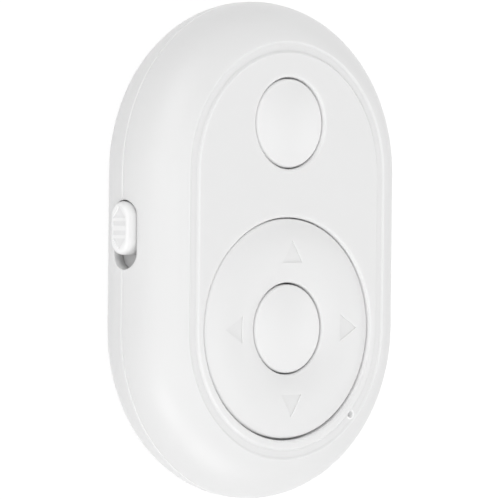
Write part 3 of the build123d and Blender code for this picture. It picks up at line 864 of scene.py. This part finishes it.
class REMOTE_OT_finish_buttons(bpy.types.Operator):
    """Gives the buttons, the ring and the knob their smoother plastic"""

    bl_idname = "remote.finish_buttons"
    bl_label = "Finish the buttons"

    def execute(self, context):
        plastic = context.scene.remote_plastic
        button = moulded_plastic(
            "button_plastic", plastic.button_colour, roughness=0.3, grain_mm=0.15,
            depth_mm=0.0015, glow=plastic.glow,
        )
        # The ring gets painted shade in its pressed triangles.
        ring = moulded_plastic(
            "ring_plastic", plastic.ring_colour, roughness=0.36, grain_mm=0.18,
            depth_mm=0.0025, glow=plastic.glow, marks=ring_painted_shade,
        )
        # The knob gets painted shade in its bars, on its sides and on its plate deep in the switch
        # slot.
        knob = moulded_plastic(
            "knob_plastic", plastic.knob_colour, roughness=0.5, grain_mm=0.15,
            depth_mm=0.0015, glow=plastic.glow, marks=knob_painted_shade, dust_and_shade=slot_painted_shade,
        )
        dress(button, "shutter_button", "centre_button")
        dress(ring, "direction_ring")
        dress(knob, "power_knob")
        return {"FINISHED"}


class REMOTE_OT_finish_switches(bpy.types.Operator):
    """Gives the push switches their steel covers and the slide switch its can and lever"""

    bl_idname = "remote.finish_switches"
    bl_label = "Finish the switches"

    def execute(self, context):
        tops = [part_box(f"{switch}_switch_housing")[1].z for switch in ALL_SWITCHES]
        cover = covered_switch("push_switch", min(tops) - SWITCH_COVER_HEIGHT)
        dress(cover, *(f"{switch}_switch_housing" for switch in ALL_SWITCHES))
        black = moulded_plastic(
            "black_plastic", (0.05, 0.05, 0.052), roughness=0.5, grain_mm=0.12, depth_mm=0.004
        )
        dress(black, "slide_switch_lever", *(f"{switch}_switch_plunger" for switch in ALL_SWITCHES))
        steel = metal(
            "switch_can", (0.68, 0.68, 0.67), 0.34, drawn_marks((1, 0.06, 1), 0.12), 0.003
        )
        dress(steel, "slide_switch_housing")
        return {"FINISHED"}


class REMOTE_OT_finish_board(bpy.types.Operator):
    """Gives the circuit board and the parts soldered to it their finishes"""

    bl_idname = "remote.finish_board"
    bl_label = "Finish the board"

    def execute(self, context):
        dress(solder_mask("board_mask", (0.03, 0.2, 0.09)), "circuit_board")
        epoxy = moulded_plastic(
            "chip_epoxy", (0.03, 0.03, 0.032), roughness=0.45, grain_mm=0.09, depth_mm=0.006
        )
        dress(epoxy, "radio_chip")
        dress(fired_ceramic("soldered_ceramic"), "passives")
        plated = metal("plated_copper", (0.8, 0.56, 0.3), 0.25, drawn_marks((1, 1, 1), 0.2), 0.004)
        dress(plated, "antenna")
        steel = metal("crystal_can", (0.7, 0.7, 0.7), 0.28, drawn_marks((0.06, 1, 1), 0.12), 0.003)
        dress(steel, "crystal")
        dress(clear_resin("lamp_resin", (0.9, 0.86, 0.6), 0.12), "indicator_led")
        dress(clear_resin("pipe_resin", (0.92, 0.93, 0.94), 0.2), "indicator_light_pipe")
        return {"FINISHED"}


class REMOTE_OT_finish_metal(bpy.types.Operator):
    """Gives the contacts, the screws and the rest of the coin cell their finishes"""

    bl_idname = "remote.finish_metal"
    bl_label = "Finish the metal"

    def execute(self, context):
        bronze = metal(
            "spring_bronze", (0.82, 0.7, 0.48), 0.27, drawn_marks((1, 0.1, 1), 0.15), 0.003
        )
        dress(bronze, "negative_contact", "positive_contact")
        zinc = metal("zinc_steel", (0.62, 0.63, 0.65), 0.3, drawn_marks((1, 1, 0.2), 0.2), 0.006)
        dress(zinc, "case_screws", "board_screws")
        cap = metal(
            "cap_steel", (0.72, 0.72, 0.71), 0.24,
            turned_marks(middle("coin_cell_cap"), 0.14), 0.002,
        )
        dress(cap, "coin_cell_cap")
        gasket = moulded_plastic(
            "gasket_nylon", (0.2, 0.2, 0.21), roughness=0.5, grain_mm=0.2, depth_mm=0.004
        )
        dress(gasket, "coin_cell_gasket")
        return {"FINISHED"}


class REMOTE_OT_add_silicone_pad(bpy.types.Operator):
    """Adds the silicone pad that the ring rocks on"""

    bl_idname = "remote.add_silicone_pad"
    bl_label = "Add the silicone pad"

    def execute(self, context):
        """Builds the pad over two angles, in two layers that meet at half its height.

        One angle runs round the pad and the other round its section, a rounded rectangle written
        as a superellipse. The sheet's height comes from its distance to the nearest switch: full
        under the ring's posts, thinner between them, with a dome above each switch. A piece can
        bend over one joint only.
        """
        pad = context.scene.remote_pad
        low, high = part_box("ring_silicone_pad")
        centre = (low + high) / 2
        reach = (high.x - low.x) / 2
        around = np.linspace(0, 2 * np.pi, pad.steps_around, endpoint=False)
        section = np.linspace(0, 2 * np.pi, pad.steps_across, endpoint=False)[:, None]
        across = np.sign(np.cos(section)) * np.abs(np.cos(section)) ** pad.side_power
        upward = np.sign(np.sin(section)) * np.abs(np.sin(section)) ** pad.face_power
        radius = (reach + pad.hole_radius) / 2 + across * (reach - pad.hole_radius) / 2
        x = centre.x + radius * np.cos(around)
        y = centre.y + radius * np.sin(around)
        switches = [middle(f"{switch}_switch_plunger") for switch in RING_SWITCHES]
        away = np.min([np.hypot(x - spot.x, y - spot.y) for spot in switches], axis=0)
        sheet_low = low.z + pad.pip_height
        top = high.z - pad.thinning * smooth_step(away, 1.1 * pad.pip_radius, 1.8 * pad.pip_radius)
        dome = 1.0 - smooth_step(away, 0.35 * pad.pip_radius, pad.pip_radius)
        bottom = sheet_low - pad.pip_height * dome
        lower_z = centre.z + np.minimum(upward, 0.0) * (centre.z - bottom)
        upper_z = centre.z + np.maximum(upward, 0.0) * (top - centre.z)
        silicone = soft_silicone("pad_silicone", (0.75, 0.76, 0.78))
        lower = build_piece(
            "silicone_pad_lower", np.stack([x, y, lower_z], axis=-1), True, silicone, "silicone",
            "ring_silicone_pad",
        )
        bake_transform(lower)
        upper = build_piece(
            "silicone_pad_upper", np.stack([x, y, upper_z], axis=-1), True, silicone, "silicone",
            "ring_silicone_pad",
        )
        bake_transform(upper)
        return {"FINISHED"}


class REMOTE_OT_add_cell_can(bpy.types.Operator):
    """Adds the coin cell's steel can with its stamped plus sign"""

    bl_idname = "remote.add_cell_can"
    bl_label = "Add the coin cell's can"

    def execute(self, context):
        """Builds the can by turning its outline about the cell's axis.

        The outline runs from the middle of the lower face over a quarter-round corner, up the
        side, over a smaller round rim and down into the recess. Points of the lower face are then
        raised into the steel where they lie in the plus sign or in the ring.
        """
        can = context.scene.remote_can
        low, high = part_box("coin_cell_can")
        centre = (low + high) / 2
        reach = (high.x - low.x) / 2
        rim = (reach - can.cap_recess_radius) / 2
        turn = np.linspace(-np.pi / 2, 0, 9)
        over = np.linspace(0, np.pi, 13)
        face = np.linspace(0, reach - can.corner, 110)
        outline_radius = np.concatenate([
            face, reach - can.corner + can.corner * np.cos(turn),
            reach - rim + rim * np.cos(over),
            [can.cap_recess_radius, 0.0],
        ])
        outline_height = np.concatenate([
            np.full(face.shape, low.z), low.z + can.corner + can.corner * np.sin(turn),
            high.z - rim + rim * np.sin(over),
            [high.z - can.recess_depth, high.z - can.recess_depth],
        ])
        around = np.linspace(0, 2 * np.pi, can.steps_around, endpoint=False)
        x = centre.x + outline_radius[:, None] * np.cos(around)
        y = centre.y + outline_radius[:, None] * np.sin(around)
        z = outline_height[:, None] + 0.0 * x
        aside = np.abs(x - centre.x)
        along = np.abs(y - centre.y)
        thin = can.plus_half_width - np.minimum(aside, along)
        far = can.plus_reach - np.maximum(aside, along)
        plus = smooth_step(thin, -can.softness, 0.0) * smooth_step(far, -can.softness, 0.0)
        off_ring = np.abs(outline_radius[:, None] - can.ring_radius) + 0.0 * x
        ring = smooth_step(can.ring_half_width - off_ring, -can.softness, 0.0)
        on_face = np.arange(len(outline_radius))[:, None] < len(face)
        z = z + on_face * can.stamp_depth * np.maximum(plus, ring)
        steel = metal(
            "can_steel", (0.72, 0.72, 0.71), 0.26, turned_marks(centre, 0.16), 0.002, cell_stamp
        )
        piece = build_piece(
            "coin_cell_stamped_can", np.stack([x, y, z], axis=-1), False, steel, "steel",
            "coin_cell_can",
        )
        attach(piece, "case")
        return {"FINISHED"}


def stadium(half_width, half_straight, count):
    """Points round a stadium whose long axis is y, an array of count by 2."""
    turn = np.linspace(0, 2 * np.pi, count, endpoint=False) + np.pi / count
    x = half_width * np.cos(turn)
    y = half_width * np.sin(turn) + half_straight * np.sign(np.sin(turn))
    return np.stack([x, y], axis=-1)


def area_lamp(name, direction, distance, width, power):
    """A square softbox that looks at the remote."""
    lamp = bpy.data.lights.new(name, "AREA")
    lamp.shape = "SQUARE"
    lamp.size = width
    lamp.energy = power
    made = bpy.data.objects.new(name, lamp)
    bpy.context.scene.collection.objects.link(made)
    stand = Vector(direction).normalized() * distance
    made.matrix_world = Matrix.Translation(stand) @ stand.to_track_quat("Z", "Y").to_matrix().to_4x4()


class REMOTE_OT_build_stage(bpy.types.Operator):
    """Builds the floor, the light and the camera"""

    bl_idname = "remote.build_stage"
    bl_label = "Build the stage"

    def execute(self, context):
        stage = context.scene.remote_stage
        self.build_floor(stage)
        self.build_light(context, stage)
        self.build_camera(context, stage)
        context.scene.view_settings.view_transform = "Standard"
        return {"FINISHED"}

    def build_floor(self, stage):
        """White paper with an opening under the remote's flat rear, clear when seen from below."""
        low, high = CAD_BOX
        half_width = (high[0] - low[0]) / 2
        half_straight = (high[1] - low[1]) / 2 - half_width
        count = 96
        rings = np.stack([
            stadium(half_width - stage.window_inset, half_straight, count),
            stadium(stage.floor_reach, half_straight, count),
        ])
        points = np.concatenate([rings, np.full((2, count, 1), -stage.floor_gap)], axis=-1)
        index = np.arange(2 * count).reshape(2, count)
        index = np.hstack([index, index[:, :1]])
        faces = np.stack([index[0, :-1], index[1, :-1], index[1, 1:], index[0, 1:]], axis=-1)
        mesh = bpy.data.meshes.new("floor")
        mesh.from_pydata(points.reshape(-1, 3).tolist(), [], faces.tolist())
        finish = Finish(bpy.data.materials.new("floor_paper"))
        fibre = finish.noise(finish.place(), 1 / (0.6 * MM), 3.0)
        tone = finish.blend(fibre, (0.77, 0.77, 0.77), (0.79, 0.79, 0.79))
        paper = finish.node("ShaderNodeBsdfDiffuse", None, {"Color": tone})
        shade = (stage.floor_shade, stage.floor_shade, stage.floor_shade)
        faint = finish.node("ShaderNodeBsdfDiffuse", None, {"Color": shade})
        white = finish.node("ShaderNodeEmission", None, {"Strength": stage.floor_white})
        shown = finish.node("ShaderNodeAddShader", None, {0: faint, 1: white})
        front = finish.node("ShaderNodeMixShader", None, {0: finish.seen(), 1: paper, 2: shown})
        behind = finish.node("ShaderNodeNewGeometry", output="Backfacing")
        clear = finish.node("ShaderNodeBsdfTransparent")
        both = finish.node("ShaderNodeMixShader", None, {0: behind, 1: front, 2: clear})
        finish.node("ShaderNodeOutputMaterial", None, {"Surface": both})
        mesh.materials.append(finish.owner)
        floor = bpy.data.objects.new("floor", mesh)
        bpy.context.scene.collection.objects.link(floor)

    def build_light(self, context, stage):
        """An even sky, white to the camera, and the soft lamps."""
        context.scene.world = bpy.data.worlds.new("studio_sky")
        finish = Finish(context.scene.world)
        strength = stage.sky + (1.0 - stage.sky) * finish.seen()
        sky = finish.node(
            "ShaderNodeBackground", None, {"Color": (1.0, 1.0, 1.0), "Strength": strength}
        )
        finish.node("ShaderNodeOutputWorld", None, {"Surface": sky})
        for name, direction, width in LAMPS:
            area_lamp(name, direction, stage.lamp_distance, width, getattr(stage, name))

    def build_camera(self, context, stage):
        """A camera at the settings' direction and distance, turned about its line of sight."""
        a, e, r = stage.azimuth, stage.elevation, stage.roll
        back = Vector((math.sin(a) * math.cos(e), -math.cos(a) * math.cos(e), math.sin(e)))
        level = Vector((math.cos(a), math.sin(a), 0.0))
        upright = back.cross(level)
        up = math.cos(r) * upright - math.sin(r) * level
        right = up.cross(back)
        data = bpy.data.cameras.new("photo_camera")
        data.sensor_width = 36.0
        data.lens = stage.lens
        data.clip_start = 0.05
        data.clip_end = 10.0
        camera = bpy.data.objects.new("photo_camera", data)
        context.scene.collection.objects.link(camera)
        spot = Vector((0.0, 0.0, stage.aim_height)) + back * stage.distance
        camera.matrix_world = Matrix(
            [(*row, spot[i]) for i, row in enumerate(zip(right, up, back))] + [(0, 0, 0, 1)]
        )
        context.scene.camera = camera


class REMOTE_PT_panel(bpy.types.Panel):
    """Lists the settings and the operators"""

    bl_label = "Pocket camera remote"
    bl_idname = "REMOTE_PT_panel"
    bl_space_type = "VIEW_3D"
    bl_region_type = "UI"
    bl_category = "Remote"

    def draw(self, context):
        for place in SETTINGS:
            settings = getattr(context.scene, place)
            for name in settings.__annotations__:
                self.layout.prop(settings, name)
        for operator in OPERATORS:
            self.layout.operator(operator.bl_idname)


SETTINGS = {
    "remote_plastic": PlasticSettings,
    "remote_marks": MarkSettings,
    "remote_slot": SlotSettings,
    "remote_openings": OpeningSettings,
    "remote_pad": PadSettings,
    "remote_can": CanSettings,
    "remote_stage": StageSettings,
}
OPERATORS = (
    REMOTE_OT_finish_case,
    REMOTE_OT_finish_buttons,
    REMOTE_OT_finish_switches,
    REMOTE_OT_finish_board,
    REMOTE_OT_finish_metal,
    REMOTE_OT_add_silicone_pad,
    REMOTE_OT_add_cell_can,
    REMOTE_OT_build_stage,
)


def register():
    for made in (*SETTINGS.values(), *OPERATORS, REMOTE_PT_panel):
        bpy.utils.register_class(made)
    for place, settings in SETTINGS.items():
        setattr(bpy.types.Scene, place, bpy.props.PointerProperty(type=settings))


def unregister():
    for place in SETTINGS:
        delattr(bpy.types.Scene, place)
    for made in reversed((*SETTINGS.values(), *OPERATORS, REMOTE_PT_panel)):
        bpy.utils.unregister_class(made)


def main():
    register()
    bpy.ops.remote.finish_case()
    bpy.ops.remote.finish_buttons()
    bpy.ops.remote.finish_switches()
    bpy.ops.remote.finish_board()
    bpy.ops.remote.finish_metal()
    bpy.ops.remote.add_silicone_pad()
    bpy.ops.remote.add_cell_can()
    bpy.ops.remote.build_stage()


if __name__ == "__main__":
    main()
